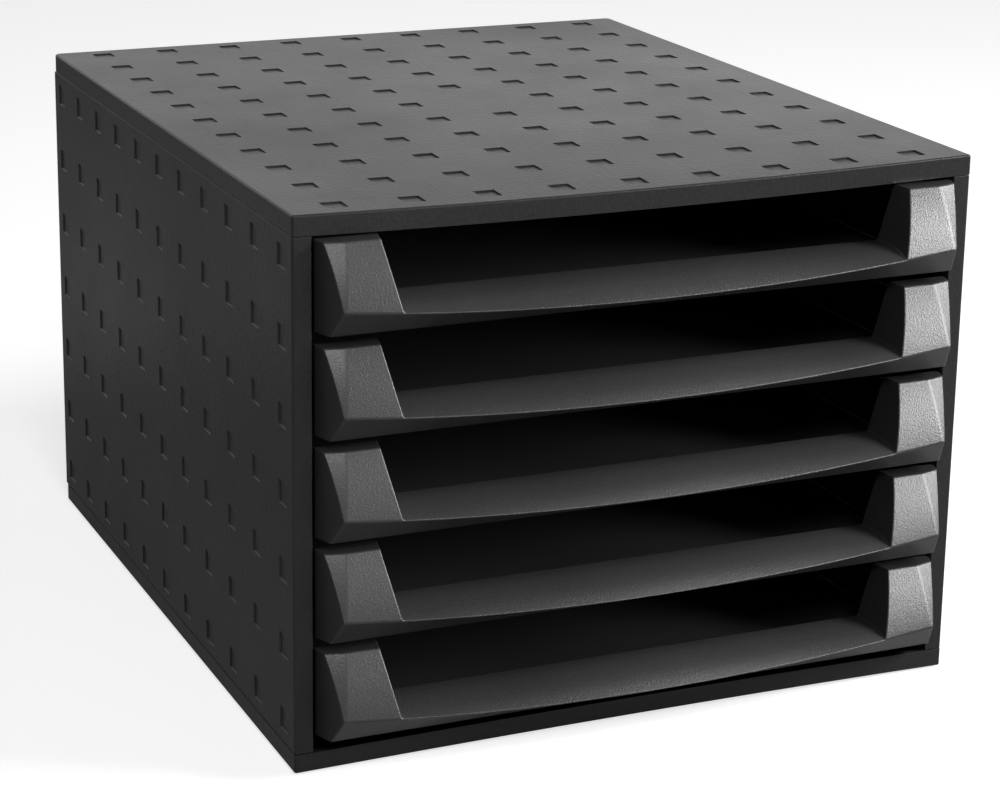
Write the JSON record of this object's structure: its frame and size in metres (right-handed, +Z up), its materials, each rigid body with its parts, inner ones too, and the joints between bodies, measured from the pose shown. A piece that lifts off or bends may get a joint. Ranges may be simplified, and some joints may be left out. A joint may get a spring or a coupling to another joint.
{
  "type": "letter tray stack with drawers",
  "caption": "Desktop letter drawer module: open-fronted trays with corner grip blocks and a sloping lip slide in a rectangular plastic casing with square dimples.",
  "frame": {"origin": "middle of the bounding box's underside, on the surface the module stands on, with the drawers closed", "axes": "+Z up, -Y out of the drawers' fronts, +X to the right of someone facing the drawers"},
  "size_m": [0.284, 0.346, 0.218],
  "materials": {
    "casing_plastic": "anthracite polystyrene with a fine spark-eroded grain",
    "drawer_plastic": "anthracite polystyrene, satin",
    "foot_pad": "matt"
  },
  "bodies": {
    "casing": {"lid": "casing_plastic", "base": "casing_plastic", "side_panel_left": "casing_plastic", "side_panel_right": "casing_plastic", "back_panel": "casing_plastic", "foot_front_left": "foot_pad", "foot_front_right": "foot_pad", "foot_back_left": "foot_pad", "foot_back_right": "foot_pad"},
    "drawer_1_body": {"drawer_1": "drawer_plastic"},
    "drawer_2_body": {"drawer_2": "drawer_plastic"},
    "drawer_3_body": {"drawer_3": "drawer_plastic"},
    "drawer_4_body": {"drawer_4": "drawer_plastic"},
    "drawer_5_body": {"drawer_5": "drawer_plastic"}
  },
  "joints": [
    {"name": "drawer_1_slide", "type": "slide", "parent": "casing", "child": "drawer_1_body", "axis": [0, -1, 0], "range_m": [0, 0.205]},
    {"name": "drawer_2_slide", "type": "slide", "parent": "casing", "child": "drawer_2_body", "axis": [0, -1, 0], "range_m": [0, 0.205]},
    {"name": "drawer_3_slide", "type": "slide", "parent": "casing", "child": "drawer_3_body", "axis": [0, -1, 0], "range_m": [0, 0.205]},
    {"name": "drawer_4_slide", "type": "slide", "parent": "casing", "child": "drawer_4_body", "axis": [0, -1, 0], "range_m": [0, 0.205]},
    {"name": "drawer_5_slide", "type": "slide", "parent": "casing", "child": "drawer_5_body", "axis": [0, -1, 0], "range_m": [0, 0.205]}
  ]
}
